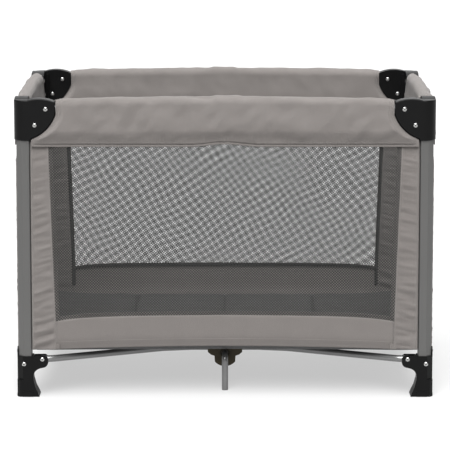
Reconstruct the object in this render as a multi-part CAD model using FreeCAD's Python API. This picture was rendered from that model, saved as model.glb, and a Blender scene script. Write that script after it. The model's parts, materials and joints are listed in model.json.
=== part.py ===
import FreeCAD, Part
import math
import os

# Folding playpen (travel cot). Millimetres, +Z up.
# Origin: middle of the footprint, on the floor. X runs along the long side, the front faces -Y.

V = FreeCAD.Vector
os.makedirs("parts", exist_ok=True)

# ---------------------------------------------------------------- driving dimensions
WIDTH = 1050.0          # over the corner brackets, X
DEPTH = 740.0           # over the corner brackets, Y
HEIGHT = 755.0          # top of the corner brackets

LEG_INSET = 5.5         # post face behind the bracket face
LEG_SIZE = 34.0
LEG_CHAMFER = 13.0      # flat on the outer corner
LEG_WALL = 1.6
LEG_BOTTOM = 10.0
LEG_TOP = 736.0

WING_T = 34.0           # thickness of a bracket wing
WING_LENGTH = 104.0
WING_WALL = 4.4
CORNER_R = 30.0         # plan radius of the bracket
BRACKET_SOFT = 3.0      # rounding of its outer edges
RAIL_PIVOT = 80.0       # from the outer face to the top rail's pivot
LOWER_RIVET = (52.5, 689.0)

TOP_Z = 729.0           # top rail centre line
TOP_R = 12.0
TOP_WALL = 1.5
TOP_V = 17.0            # top rail centre line behind the outer face
LONG_LOCK = 21.5        # lock pivots from the middle of a long side
SHORT_LOCK = 50.0       # and of a short side

LOCK_HALF = 14.0        # half the width of a lock
LOCK_PLATE = 1.7
LOCK_FLOOR = 4.4

RIVET_R = 4.0
RIVET_HEAD = 5.2
RIVET_BORE = 2.2
RIVET_RISE = 1.3
RUNNING = 0.06          # radial clearance of a turning joint

BASE_Z = 96.0           # every lower pivot
BASE_R = 8.5
BASE_WALL = 1.4
FOOT_PIVOT = 65.5       # from the outer face
FOOT_V = 14.0           # lower rail behind the outer face, at the foot
ARM_GAP = 17.8          # between the plates of the foot's arm
ARM_PLATE = 3.1
ARM_T = ARM_GAP + 2 * ARM_PLATE
FOOT_TOP = 104.0
FOOT_RIVET = (19.5, 84.0)
EAR_RIVET = (26.0, 114.0)
HUB_PIVOT_X = 36.0
HUB_PIVOT_Y = 207.0
CROSS_PIVOT_Y = 240.0
CROSS_X = 11.0          # the two cross tubes lie side by side
CROSS_R = 8.0

HUB_FRONT = 262.0
HUB_BACK = 194.0
HUB_TOP = 110.0
CENTRE_LEG_Y = 285.0
CENTRE_LEG_Z = 93.0
CENTRE_LEG_R = 8.0
CENTRE_BEND = 20.0
LEG_SOCKET_END = 250.2  # how deep the centre leg sits in the hub, as a distance from the middle

WALL_V = 2.0            # fabric walls behind the outer face, outside every rail
FABRIC = 1.6
BAND_LOW = 121.0        # lower edge of the fabric
BAND_TOP = 211.0
SKIRT_LOW = 641.0       # lower edge of the rail covers
BORDER_END = 86.5       # from the outer face to the mesh
GAP = 0.3

FLOOR_Z = 112.5
FLOOR_T = 2.0
MAT_Z = 116.0
MAT_T = 24.0
MAT_X = 956.0
MAT_Y = 650.0

CORNERS = {
    "front_left": (False, False),
    "front_right": (True, False),
    "rear_left": (False, True),
    "rear_right": (True, True),
}


# ---------------------------------------------------------------- helpers
def box(x0, x1, y0, y1, z0, z1):
    return Part.makeBox(x1 - x0, y1 - y0, z1 - z0, V(x0, y0, z0))


def rod(r, start, end):
    """A round bar from one point to another."""
    way = V(*end) - V(*start)
    return Part.makeCylinder(r, way.Length, V(*start), way)


def outline(points):
    """A closed wire through points; a point given as (mid, end) pairs makes an arc."""
    edges = []
    here = points[0]
    for item in points[1:] + [points[0]]:
        if isinstance(item, list):
            mid, end = item
            edges.append(Part.Arc(here, mid, end).toShape())
            here = end
        elif (item - here).Length > 1e-6:
            edges.append(Part.LineSegment(here, item).toShape())
            here = item
    return Part.Wire(edges)


def prism(points, way):
    return Part.Face(outline(points)).extrude(way)


def upright_edges(shape, keep):
    """Straight vertical edges whose middle passes keep(x, y)."""
    found = []
    for edge in shape.Edges:
        a, b = edge.Vertexes[0].Point, edge.Vertexes[-1].Point
        if abs(a.x - b.x) + abs(a.y - b.y) < 1e-6 and keep(a.x, a.y):
            found.append(edge)
    return found


def front_edges(shape, y):
    """Every edge that lies in the plane at y, the piece's front."""
    return [edge for edge in shape.Edges if edge.BoundBox.YMax < y + 1e-6]


def place(shape, corner):
    """A piece drawn in corner coordinates, moved to its corner."""
    mirror_x, mirror_y = CORNERS[corner]
    shape = shape.translated(V(-WIDTH / 2, -DEPTH / 2, 0))
    if mirror_x:
        shape = shape.mirror(V(0, 0, 0), V(1, 0, 0))
    if mirror_y:
        shape = shape.mirror(V(0, 0, 0), V(0, 1, 0))
    return shape


def swap(shape):
    """The same piece on the other wing of the corner."""
    return shape.mirror(V(0, 0, 0), V(1, -1, 0))


def turned(shape, degrees):
    copy = shape.copy()
    copy.rotate(V(0, 0, 0), V(0, 0, 1), degrees)
    return copy


def save(name, shape):
    shape.exportStep("parts/" + name + ".step")


# ---------------------------------------------------------------- corner posts
def post_section(grow, z0, z1, soft=3.0):
    """The post's outline, a square with a flat outer corner, grown outwards by grow."""
    low = LEG_INSET - grow
    high = LEG_INSET + LEG_SIZE + grow
    flat = LEG_CHAMFER + grow * 0.6
    points = [
        V(low + flat, low, z0),
        V(high, low, z0),
        V(high, high, z0),
        V(low, high, z0),
        V(low, low + flat, z0),
    ]
    bar = prism(points, V(0, 0, z1 - z0))
    if soft > 0:
        bar = bar.makeFillet(soft, upright_edges(bar, lambda x, y: True))
    return bar


def corner_post():
    outer = post_section(0, LEG_BOTTOM, LEG_TOP, 4.0)
    inner = post_section(-LEG_WALL, LEG_BOTTOM - 1, LEG_TOP + 1, 2.6)
    post = outer.cut(inner)
    u, z = FOOT_RIVET
    post = post.cut(rod(RIVET_R, (u, -5, z), (u, 60, z)))
    u, z = EAR_RIVET
    return post.cut(swap(rod(RIVET_R, (u, -5, z), (u, 10, z))))


# ---------------------------------------------------------------- top brackets
def wing_points(v, drop=0.0):
    """The side view of a wing: an arched top, a blunt tip and a curved lower edge."""
    return [
        V(0, v, 650),
        V(0, v, 751 - drop),
        V(34, v, 751 - drop),
        [V(70, v, HEIGHT - drop), V(WING_LENGTH, v, 746 - drop)],
        V(WING_LENGTH, v, 716),
        [V(84, v, 682), V(42, v, 655)],
        V(36, v, 650),
    ]


def on_outside(point, radius):
    """True for a point on the bracket's two outer faces or on the round between them."""
    if point.x < radius and point.y < radius:
        away = math.hypot(point.x - radius, point.y - radius)
        return abs(away - radius) < 0.01
    return min(point.x, point.y) < 0.01


def outer_edges(shape, radius):
    """The edges that frame the outside, without the seams down the round corner."""
    found = []
    for edge in shape.Edges:
        middle = edge.valueAt((edge.FirstParameter + edge.LastParameter) / 2)
        ends = [vertex.Point for vertex in edge.Vertexes]
        seam = edge.Curve.TypeId == "Part::GeomLine" and edge.BoundBox.ZLength > 60
        if not seam and all(on_outside(p, radius) for p in ends + [middle]):
            found.append(edge)
    return found


def corner_bracket():
    wing = prism(wing_points(0), V(0, WING_T, 0))
    sleeve = LEG_INSET + LEG_SIZE + 3.5
    body = wing.fuse([swap(wing), box(0, sleeve, 0, sleeve, 650, 744)])
    plan = box(0, 120, 0, 120, 640, 770)
    plan = plan.makeFillet(CORNER_R, upright_edges(plan, lambda x, y: x + y < 1))
    body = body.common(plan).removeSplitter()
    for high in (True, False):
        edges = outer_edges(body, CORNER_R)
        edges = [e for e in edges if (e.BoundBox.ZMin > 720) == high]
        body = body.makeFillet(BRACKET_SOFT, edges)

    inner = WING_WALL
    outer = WING_T - WING_WALL
    slot = prism(wing_points(inner, 4.5), V(0, outer - inner, 0))
    slot = slot.fuse(box(60, 120, inner, outer, 630, 735))
    slot = slot.common(box(62, 130, 0, 60, 600, 760))
    hollow = box(sleeve + 2.5, 59, inner, outer, 640, 738)
    for cut in (slot, hollow):
        body = body.cut(cut)
        body = body.cut(swap(cut))
    body = body.cut(post_section(0, 600, LEG_TOP, 4.0))
    for u, z in ((RAIL_PIVOT, TOP_Z), LOWER_RIVET):
        hole = rod(RIVET_R, (u, -5, z), (u, WING_T + 5, z))
        body = body.cut(hole)
        body = body.cut(swap(hole))
    return body.removeSplitter()


# ---------------------------------------------------------------- rivets
def rivet(u, z, v0, v1):
    """A hollow rivet along v: a tube with a domed head at each end."""
    body = rod(RIVET_R, (u, v0, z), (u, v1, z))
    for v, way in ((v0, -1), (v1, 1)):
        head = Part.makeCone(
            RIVET_HEAD, RIVET_HEAD - 1.5, RIVET_RISE, V(u, v, z), V(0, way, 0)
        )
        body = body.fuse(head)
    bore = rod(RIVET_BORE, (u, v0 - 5, z), (u, v1 + 5, z))
    return body.cut(bore)


def corner_rivets():
    """Every rivet of one corner: four in the bracket, three in the foot."""
    rivets = []
    for u, z in ((RAIL_PIVOT, TOP_Z), LOWER_RIVET):
        rivets.append(rivet(u, z, 0, WING_T))
        rivets.append(swap(rivet(u, z, 0, WING_T)))
    rivets.append(rivet(FOOT_PIVOT, BASE_Z, 2, 2 + ARM_T))
    rivets.append(rivet(*FOOT_RIVET, 2, 43))
    rivets.append(swap(rivet(*EAR_RIVET, 2, LEG_INSET + LEG_WALL)))
    return Part.makeCompound(rivets)


# ---------------------------------------------------------------- feet
def foot_side_view(v):
    """Column, flared base and the arm that carries the lower rail."""
    return [
        V(2, v, FOOT_TOP),
        V(2, v, 14),
        V(0.6, v, 5),
        V(0.6, v, 0),
        V(57.5, v, 0),
        V(57.0, v, 7),
        [V(46.0, v, 26), V(43.0, v, 47)],
        [V(48.5, v, 66), V(62.0, v, 73.5)],
        V(68.0, v, 75.0),
        [V(78.4, v, 82), V(79.5, v, 92)],
        [V(78.0, v, 102), V(71.0, v, 106)],
        V(46.0, v, 106),
        V(43.0, v, FOOT_TOP),
    ]


def foot():
    body = prism(foot_side_view(0.6), V(0, 58, 0))
    plan = post_section(4.9, -1, 14, 4.0).fuse(post_section(3.5, -1, 120, 4.0))
    flare = []
    for level, grow in ((0, 18.0), (9, 15.0), (24, 8.5), (44, 3.5)):
        side = LEG_INSET + LEG_SIZE + grow
        corner = [V(2, 2, level), V(side, 2, level), V(side, side, level), V(2, side, level)]
        flare.append(outline(corner))
    skirt = Part.makeLoft(flare, True, True)
    bevel = prism([V(-5, -5, -2), V(16, -5, -2), V(-5, 16, -2)], V(0, 0, 130))
    skirt = skirt.cut(bevel)
    arm = box(40, 90, 2, 2 + ARM_T, 60, 120)
    body = body.common(plan.fuse(skirt).fuse(arm))
    v, z = EAR_RIVET
    ear = box(2, 5.5, v - 9, v + 9, FOOT_TOP - 4, z + 3)
    ear = ear.fuse(rod(9, (2, v, z + 3), (5.5, v, z + 3)))
    body = body.fuse(ear)
    body = body.cut(post_section(0, LEG_BOTTOM, 140, 4.0))
    gap = box(46.5, 100, 2 + ARM_PLATE, 2 + ARM_PLATE + ARM_GAP, 60, 130)
    body = body.cut(gap)
    body = body.cut(rod(RIVET_R, (FOOT_PIVOT, -5, BASE_Z), (FOOT_PIVOT, 60, BASE_Z)))
    u = FOOT_RIVET[0]
    body = body.cut(rod(RIVET_R, (u, -5, FOOT_RIVET[1]), (u, 60, FOOT_RIVET[1])))
    body = body.cut(swap(rod(RIVET_R, (v, -5, z), (v, 10, z))))
    return body.removeSplitter()


# ---------------------------------------------------------------- tubes
def tube_end(r, at, way, width=60.0):
    """What to cut off so that a tube along X ends round about the pivot at x = at."""
    block = box(-60, 0, -width, width, -r - 2, r + 2)
    if way > 0:
        block = box(0, 60, -width, width, -r - 2, r + 2)
    block = block.translated(V(at, 0, 0))
    return block.cut(rod(r, (at, -width - 1, 0), (at, width + 1, 0)))


def top_rail(length):
    """A straight rail along X from pivot to pivot, its first pivot at the origin."""
    reach = TOP_R + 1
    tube = rod(TOP_R, (-reach, 0, 0), (length + reach, 0, 0))
    tube = tube.cut(rod(TOP_R - TOP_WALL, (-reach - 1, 0, 0), (length + reach + 1, 0, 0)))
    tube = tube.cut(tube_end(TOP_R, 0, -1))
    tube = tube.cut(tube_end(TOP_R, length, 1))
    for x in (0, length):
        tube = tube.cut(rod(RIVET_R + RUNNING, (x, -20, 0), (x, 20, 0)))
    return tube


def bent_path(points, radius):
    """A wire through points, with an arc of this radius at every inner corner."""
    edges = []
    here = points[0]
    for before, corner, after in zip(points, points[1:], points[2:]):
        back = (before - corner).normalize()
        on = (after - corner).normalize()
        half = back.getAngle(on) / 2
        away = radius / math.tan(half)
        start = corner + back * away
        end = corner + on * away
        middle = (back + on).normalize()
        centre = corner + middle * (radius / math.sin(half))
        edges.append(Part.LineSegment(here, start).toShape())
        edges.append(Part.Arc(start, centre - middle * radius, end).toShape())
        here = end
    edges.append(Part.LineSegment(here, points[-1]).toShape())
    return Part.Wire(edges)


def swept(path, r):
    """A round bar along a wire that sets off along its first edge."""
    first = path.Edges[0]
    start = first.valueAt(first.FirstParameter)
    way = first.tangentAt(first.FirstParameter)
    ring = Part.Wire([Part.makeCircle(r, start, way)])
    return path.makePipeShell([ring], True, False)


def lower_rail():
    """The front left lower rail, in place: it leaves the foot and curves in to the hub."""
    foot_x = FOOT_PIVOT - WIDTH / 2
    foot_y = FOOT_V - DEPTH / 2
    hub_x = -HUB_PIVOT_X
    hub_y = -HUB_PIVOT_Y
    path = bent_path(
        [
            V(foot_x - 20, foot_y, 0),
            V(foot_x + 22, foot_y, 0),
            V(hub_x - 124, hub_y - 15, 0),
            V(hub_x - 50, hub_y, 0),
            V(hub_x + 20, hub_y, 0),
        ],
        40.0,
    )
    tube = swept(path, BASE_R).cut(swept(path, BASE_R - BASE_WALL))
    tube = tube.cut(tube_end(BASE_R, foot_x, -1, 400.0))
    tube = tube.cut(tube_end(BASE_R, hub_x, 1, 400.0))
    for x, y in ((foot_x, foot_y), (hub_x, hub_y)):
        tube = tube.cut(rod(RIVET_R + RUNNING, (x, y - 20, 0), (x, y + 20, 0)))
    return tube.translated(V(0, 0, BASE_Z))


def cross_tube():
    """The front cross tube, in place: from the front hub to the middle."""
    length = CROSS_PIVOT_Y
    reach = CROSS_R + 1
    tube = rod(CROSS_R, (-reach, 0, 0), (length + reach, 0, 0))
    tube = tube.cut(rod(CROSS_R - 1.4, (-reach - 1, 0, 0), (length + reach + 1, 0, 0)))
    tube = tube.cut(tube_end(CROSS_R, 0, -1))
    tube = tube.cut(tube_end(CROSS_R, length, 1))
    for x in (0, length):
        tube = tube.cut(rod(RIVET_R + RUNNING, (x, -20, 0), (x, 20, 0)))
    tube = turned(tube, 90)
    return tube.translated(V(-CROSS_X, -CROSS_PIVOT_Y, BASE_Z))


# ---------------------------------------------------------------- locks
def lock(pivot):
    """A tray that holds two half rails in line; they fold up out of it. Along X."""
    end = pivot + 15.0
    low = -TOP_R - LOCK_FLOOR
    body = box(-end, end, -LOCK_HALF, LOCK_HALF, low, 14)
    body = body.cut(
        box(-end - 1, end + 1, LOCK_PLATE - LOCK_HALF, LOCK_HALF - LOCK_PLATE, -12.4, 20)
    )
    corners = []
    for edge in body.Edges:
        size = edge.BoundBox
        at_end = abs(abs(size.XMin) - end) < 1e-6 and size.XLength < 1e-6
        if at_end and size.ZLength < 1e-6 and size.YLength < 3:
            corners.append(edge)
    body = body.makeFillet(7.0, corners)
    for x in (-pivot, pivot):
        body = body.fuse(rod(RIVET_R, (x, -LOCK_HALF, 0), (x, LOCK_HALF, 0)))
        body = body.cut(rod(RIVET_BORE, (x, -20, 0), (x, 20, 0)))
    return body


# ---------------------------------------------------------------- base
def mid_hub():
    """The front hub, in place: two lower rails, one cross tube and the centre leg meet here."""
    y = -HUB_FRONT
    side = [
        V(-44, y, HUB_TOP),
        V(-44, y, 93),
        V(-36, y, 86),
        V(-27, y, 83),
        V(-26, y, 68),
        [V(0, y, 56), V(26, y, 68)],
        V(27, y, 83),
        V(36, y, 86),
        V(44, y, 93),
        V(44, y, HUB_TOP),
    ]
    body = prism(side, V(0, HUB_FRONT - HUB_BACK, 0))
    body = body.makeFillet(2.0, front_edges(body, -HUB_FRONT))
    boss = rod(15.5, (0, -HUB_FRONT - 4, CENTRE_LEG_Z), (0, -HUB_FRONT + 2, CENTRE_LEG_Z))
    boss = boss.cut(rod(12.0, (0, -HUB_FRONT - 5, CENTRE_LEG_Z), (0, -HUB_FRONT, CENTRE_LEG_Z)))
    body = body.fuse(boss)
    rail = BASE_R + 0.45
    for way in (-1, 1):
        x0, x1 = sorted((way * 26.8, way * 60))
        body = body.cut(box(x0, x1, -HUB_PIVOT_Y - rail, -HUB_PIVOT_Y + rail, 40, BASE_Z + 9))
        pin = rod(
            RIVET_R,
            (way * HUB_PIVOT_X, -HUB_PIVOT_Y - rail - 1, BASE_Z),
            (way * HUB_PIVOT_X, -HUB_BACK, BASE_Z),
        )
        body = body.fuse(pin)
    wide = CROSS_R + 0.4
    slot = box(-CROSS_X - wide, -CROSS_X + wide, -CROSS_PIVOT_Y - wide, -100, BASE_Z - wide, 130)
    body = body.cut(slot)
    pin = rod(
        RIVET_R,
        (-CROSS_X - wide - 2, -CROSS_PIVOT_Y, BASE_Z),
        (-CROSS_X + wide + 2, -CROSS_PIVOT_Y, BASE_Z),
    )
    body = body.fuse(pin)
    socket = rod(
        CENTRE_LEG_R,
        (0, -HUB_FRONT - 10, CENTRE_LEG_Z),
        (0, -LEG_SOCKET_END, CENTRE_LEG_Z),
    )
    return body.cut(socket).removeSplitter()


def centre_leg():
    """A bent tube: out of the hub's front boss, round a bend and down to the floor."""
    path = bent_path(
        [
            V(0, -LEG_SOCKET_END, CENTRE_LEG_Z),
            V(0, -CENTRE_LEG_Y, CENTRE_LEG_Z),
            V(0, -CENTRE_LEG_Y, 0),
        ],
        CENTRE_BEND,
    )
    bar = swept(path, CENTRE_LEG_R)
    bore = rod(CENTRE_LEG_R - 1.5, (0, -CENTRE_LEG_Y, -1), (0, -CENTRE_LEG_Y, 60))
    return bar.cut(bore)


def central_hub():
    """Where the two cross tubes meet under the floor; the strap pulls it up."""
    wide = CROSS_R + 0.4
    end = CROSS_X + wide + 4.0
    body = box(-end, end, -30, 30, 84, HUB_TOP)
    body = body.makeFillet(5.0, upright_edges(body, lambda x, y: True))
    for x in (-CROSS_X, CROSS_X):
        body = body.cut(box(x - wide, x + wide, -40, 40, 70, BASE_Z + 8.6))
    body = body.fuse(rod(RIVET_R, (-end, 0, BASE_Z), (end, 0, BASE_Z)))
    return body


# ---------------------------------------------------------------- soft parts
def rail_cover(half_length, outer):
    """A padded cover hanging over one side's top rails, along X; y runs inwards from 0."""
    cut = half_length - WING_LENGTH - 1.5
    low = half_length - 44.0
    outline_of = [
        V(-cut, 0, 752),
        V(-cut, 0, 715),
        V(-cut - 12, 0, 692),
        V(-cut - 30, 0, 670.5),
        V(-low, 0, 649),
        V(-low, 0, SKIRT_LOW),
        V(low, 0, SKIRT_LOW),
        V(low, 0, 649),
        V(cut + 30, 0, 670.5),
        V(cut + 12, 0, 692),
        V(cut, 0, 715),
        V(cut, 0, 752),
    ]
    body = prism(outline_of, V(0, outer, 0))
    return body.cut(box(-half_length, half_length, 2, outer - 2, 600, 749.5))


def corner_fabric():
    """The strip of fabric that runs up the inside of a post, from one wall to the other."""
    v = WALL_V - FABRIC / 2
    near = LEG_INSET + LEG_SIZE + 0.6
    behind = near + FABRIC
    shape = box(near, BORDER_END, v, v + FABRIC, BAND_LOW, SKIRT_LOW - GAP)
    shape = shape.fuse(box(near, behind, v, behind, BAND_LOW, SKIRT_LOW - GAP))
    shape = shape.fuse(swap(shape))
    return shape.removeSplitter()


def wall(half_length, z0, z1):
    """A flat piece of a wall along X; y is at the wall's middle."""
    end = half_length - BORDER_END - GAP
    return box(-end, end, -FABRIC / 2, FABRIC / 2, z0, z1)


def floor_half():
    """The left half of the floor fabric, slit in the middle for the strap."""
    low, high = FLOOR_Z, FLOOR_Z + FLOOR_T
    edge_x = WIDTH / 2 - 6
    edge_y = DEPTH / 2 - 6
    sheet = box(-edge_x, -0.2, -edge_y, edge_y, low, high)
    for y in (-edge_y, edge_y):
        sheet = sheet.cut(box(-edge_x - 1, -edge_x + 44, y - 44, y + 44, low - 1, high + 1))
    return sheet.cut(box(-20, 20, -5, 5, low - 1, high + 1))


def mattress():
    """Four padded boards in one cover, parted by three stitched lines."""
    body = box(-MAT_X / 2, MAT_X / 2, -MAT_Y / 2, MAT_Y / 2, MAT_Z, MAT_Z + MAT_T)
    body = body.makeFillet(25.0, upright_edges(body, lambda x, y: True))
    for n in (-1, 0, 1):
        x = n * MAT_X / 4
        body = body.cut(box(x - 1.5, x + 1.5, -400, 400, MAT_Z + 10, MAT_Z + 60))
    return body


def pull_strap():
    """A webbing tail: sewn to the central hub, up through the slit and flat on the floor."""
    rise = box(-17, -1, -1.5, 0, HUB_TOP, FLOOR_Z + FLOOR_T + 1.2)
    flat = box(-17, -1, -1.5, 190, FLOOR_Z + FLOOR_T + 0.1, FLOOR_Z + FLOOR_T + 1.2)
    return rise.fuse(flat).removeSplitter()


# ---------------------------------------------------------------- everything in place
def along_side(shape, side, behind):
    """A piece drawn along X with its outer face at y = 0, set on one side of the playpen."""
    if side == "front":
        return shape.translated(V(0, behind - DEPTH / 2, 0))
    if side == "rear":
        return turned(shape, 180).translated(V(0, DEPTH / 2 - behind, 0))
    if side == "left":
        return turned(shape, -90).translated(V(behind - WIDTH / 2, 0, 0))
    return turned(shape, 90).translated(V(WIDTH / 2 - behind, 0, 0))


def save_corners():
    pieces = {
        "leg": corner_post(),
        "bracket": corner_bracket(),
        "foot": foot(),
        "rivets": corner_rivets(),
        "corner_fabric": corner_fabric(),
    }
    for corner in CORNERS:
        for kind, shape in pieces.items():
            save(kind + "_" + corner, place(shape, corner))


def save_top_rails():
    """Eight half rails and four locks."""
    sides = {
        "front": (WIDTH, LONG_LOCK, ("left", "right")),
        "rear": (WIDTH, LONG_LOCK, ("right", "left")),
        "left": (DEPTH, SHORT_LOCK, ("rear", "front")),
        "right": (DEPTH, SHORT_LOCK, ("front", "rear")),
    }
    for side, (size, pivot, ends) in sides.items():
        start = size / 2 - RAIL_PIVOT
        rail = top_rail(start - pivot)
        first = rail.translated(V(-start, 0, TOP_Z))
        second = rail.translated(V(pivot, 0, TOP_Z))
        for end, shape in zip(ends, (first, second)):
            save(side + "_top_rail_" + end, along_side(shape, side, TOP_V))
        save(side + "_lock", along_side(lock(pivot).translated(V(0, 0, TOP_Z)), side, TOP_V))


def save_base():
    rail = lower_rail()
    for corner, (mirror_x, mirror_y) in CORNERS.items():
        shape = rail
        if mirror_x:
            shape = shape.mirror(V(0, 0, 0), V(1, 0, 0))
        if mirror_y:
            shape = shape.mirror(V(0, 0, 0), V(0, 1, 0))
        front_or_rear, left_or_right = corner.split("_")
        save(front_or_rear + "_lower_rail_" + left_or_right, shape)
    save("front_mid_hub", mid_hub())
    save("rear_mid_hub", turned(mid_hub(), 180))
    save("front_centre_leg", centre_leg())
    save("rear_centre_leg", turned(centre_leg(), 180))
    save("cross_tube_front", cross_tube())
    save("cross_tube_rear", turned(cross_tube(), 180))
    save("central_hub", central_hub())


def save_soft_parts():
    sizes = {"front": WIDTH / 2, "rear": WIDTH / 2, "left": DEPTH / 2, "right": DEPTH / 2}
    for side, half in sizes.items():
        save(side + "_rail_cover", along_side(rail_cover(half, 33.2), side, 0.4))
        save(side + "_band", along_side(wall(half, BAND_LOW, BAND_TOP), side, WALL_V))
        save(
            side + "_mesh",
            along_side(wall(half, BAND_TOP + GAP, SKIRT_LOW - GAP), side, WALL_V),
        )
    save("floor_left", floor_half())
    save("floor_right", turned(floor_half(), 180))
    save("mattress", mattress())
    save("pull_strap", pull_strap())


save_corners()
save_top_rails()
save_base()
save_soft_parts()
print(len(os.listdir("parts")), "files in parts")
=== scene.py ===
# %% [markdown]
# # A folding playpen
# A playpen is a hard frame with soft walls. The frame comes ready made, so this lesson dresses
# it: cloth walls, padded rail covers, a net, a mattress, stitches and the finish of every part.
# The frame also gives the sizes, so the cloth follows it if the frame is made again.

# %% Load the frame
import json
import math

import bpy
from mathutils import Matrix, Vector, noise


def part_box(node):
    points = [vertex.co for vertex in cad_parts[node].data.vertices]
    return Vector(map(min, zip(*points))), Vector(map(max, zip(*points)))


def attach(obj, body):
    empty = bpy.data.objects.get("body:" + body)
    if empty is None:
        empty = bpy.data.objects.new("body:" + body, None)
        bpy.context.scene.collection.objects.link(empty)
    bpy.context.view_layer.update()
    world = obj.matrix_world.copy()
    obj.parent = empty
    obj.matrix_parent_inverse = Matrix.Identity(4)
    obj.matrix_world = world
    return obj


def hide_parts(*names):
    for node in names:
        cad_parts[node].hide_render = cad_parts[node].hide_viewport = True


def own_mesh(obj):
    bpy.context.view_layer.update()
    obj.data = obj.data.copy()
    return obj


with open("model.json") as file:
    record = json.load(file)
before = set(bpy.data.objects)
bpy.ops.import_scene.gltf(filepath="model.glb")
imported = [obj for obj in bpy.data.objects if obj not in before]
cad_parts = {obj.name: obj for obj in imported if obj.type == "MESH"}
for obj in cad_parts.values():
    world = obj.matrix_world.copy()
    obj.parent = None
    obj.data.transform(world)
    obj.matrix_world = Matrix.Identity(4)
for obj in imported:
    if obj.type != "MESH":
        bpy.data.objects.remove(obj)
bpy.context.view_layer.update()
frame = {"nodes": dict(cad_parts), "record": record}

# %% [markdown]
# ## Sizes
# Positions on a wall are easier to think of as three numbers: how far along it, how far behind
# the outer face, and how high. One function turns them into a point for any of the four walls.

# %% Sizes read from the frame
SIDES = ("front", "rear", "left", "right")
LONG_SIDES = ("front", "rear")


def by_side(long_value, short_value):
    """One value for the front and the rear, and another for the left and the right."""
    return {side: long_value if side in LONG_SIDES else short_value for side in SIDES}


bracket_low, bracket_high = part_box("bracket_front_left")
HALF_X, HALF_Y = -bracket_low[0], -bracket_low[1]
HALF = by_side(HALF_X, HALF_Y)
LEG_FACE = HALF_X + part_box("leg_front_left")[1][0]      # how far in the post reaches
WING_END = HALF_X + bracket_high[0]                     # how far in the bracket reaches
CLOTH_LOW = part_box("front_band")[0][2]
BAND_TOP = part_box("front_band")[1][2]
COVER_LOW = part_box("front_rail_cover")[0][2]
COVER_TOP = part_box("front_rail_cover")[1][2]
NET_TOP = bracket_low[2] - 0.002
print("half width", round(HALF_X, 4), "half depth", round(HALF_Y, 4))


# %% A point on a wall
def wall_spot(side, along, behind, z):
    """A point of a wall: along it to the right as seen from outside, behind its face, and up."""
    if side == "front":
        return Vector((along, behind - HALF_Y, z))
    if side == "rear":
        return Vector((-along, HALF_Y - behind, z))
    if side == "left":
        return Vector((behind - HALF_X, -along, z))
    return Vector((HALF_X - behind, along, z))


# %% [markdown]
# ## Shared shading groups
# Several finishes need the same small effects: a woven thread pattern, an uneven tone and the
# fine grain of moulded plastic. Each is a node group with named sockets, built once.

# %% Helpers for node trees
def new_group(name, inputs, outputs):
    """A shader group with float or vector inputs {name: default} and float outputs."""
    tree = bpy.data.node_groups.new(name, "ShaderNodeTree")
    for label, value in inputs.items():
        kind = "NodeSocketVector" if value is None else "NodeSocketFloat"
        socket = tree.interface.new_socket(label, in_out="INPUT", socket_type=kind)
        if value is not None:
            socket.default_value = value
    for label in outputs:
        tree.interface.new_socket(label, in_out="OUTPUT", socket_type="NodeSocketFloat")
    return tree, tree.nodes.new("NodeGroupInput").outputs, tree.nodes.new("NodeGroupOutput").inputs


def calc(tree, operation, *values):
    """One math node; each value is a number or an output."""
    node = tree.nodes.new("ShaderNodeMath")
    node.operation = operation
    for socket, value in zip(node.inputs, values):
        if isinstance(value, (int, float)):
            socket.default_value = value
        else:
            tree.links.new(value, socket)
    return node.outputs[0]


def split(tree, vector):
    """The three numbers of a vector."""
    node = tree.nodes.new("ShaderNodeSeparateXYZ")
    tree.links.new(vector, node.inputs[0])
    return node.outputs


# %% Woven cloth
def make_weave_group():
    """Threads that pass over and under each other."""
    tree, given, made = new_group("Plain weave", {"Vector": None, "Threads": 1200.0}, ["Height", "Gap"])
    across = split(tree, given["Vector"])
    u = calc(tree, "MULTIPLY", across[0], given["Threads"])
    v = calc(tree, "MULTIPLY", across[1], given["Threads"])
    warp = calc(tree, "ABSOLUTE", calc(tree, "SINE", calc(tree, "MULTIPLY", u, math.pi)))
    weft = calc(tree, "ABSOLUTE", calc(tree, "SINE", calc(tree, "MULTIPLY", v, math.pi)))
    cell = calc(tree, "ADD", calc(tree, "FLOOR", u), calc(tree, "FLOOR", v))
    over = calc(tree, "FLOORED_MODULO", cell, 2.0)
    high = calc(tree, "MULTIPLY", warp, over)
    rest = calc(tree, "MULTIPLY", weft, calc(tree, "SUBTRACT", 1.0, over))
    height = calc(tree, "ADD", high, rest)
    tree.links.new(height, made["Height"])
    tree.links.new(calc(tree, "SUBTRACT", 1.0, height), made["Gap"])
    return tree


weave_group = make_weave_group()
print("weave group has", len(weave_group.nodes), "nodes")


# %% An uneven tone
def make_tone_group():
    """A value near 1 that drifts softly over the surface."""
    tree, given, made = new_group("Uneven tone", {"Vector": None, "Scale": 12.0, "Amount": 0.06}, ["Tone"])
    cloud = tree.nodes.new("ShaderNodeTexNoise")
    cloud.inputs["Detail"].default_value = 3.0
    tree.links.new(given["Vector"], cloud.inputs["Vector"])
    tree.links.new(given["Scale"], cloud.inputs["Scale"])
    swing = calc(tree, "MULTIPLY", calc(tree, "SUBTRACT", cloud.outputs["Fac"], 0.5), 2.0)
    tree.links.new(calc(tree, "ADD", 1.0, calc(tree, "MULTIPLY", swing, given["Amount"])), made["Tone"])
    return tree


tone_group = make_tone_group()
print("tone group has", len(tone_group.nodes), "nodes")


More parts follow.
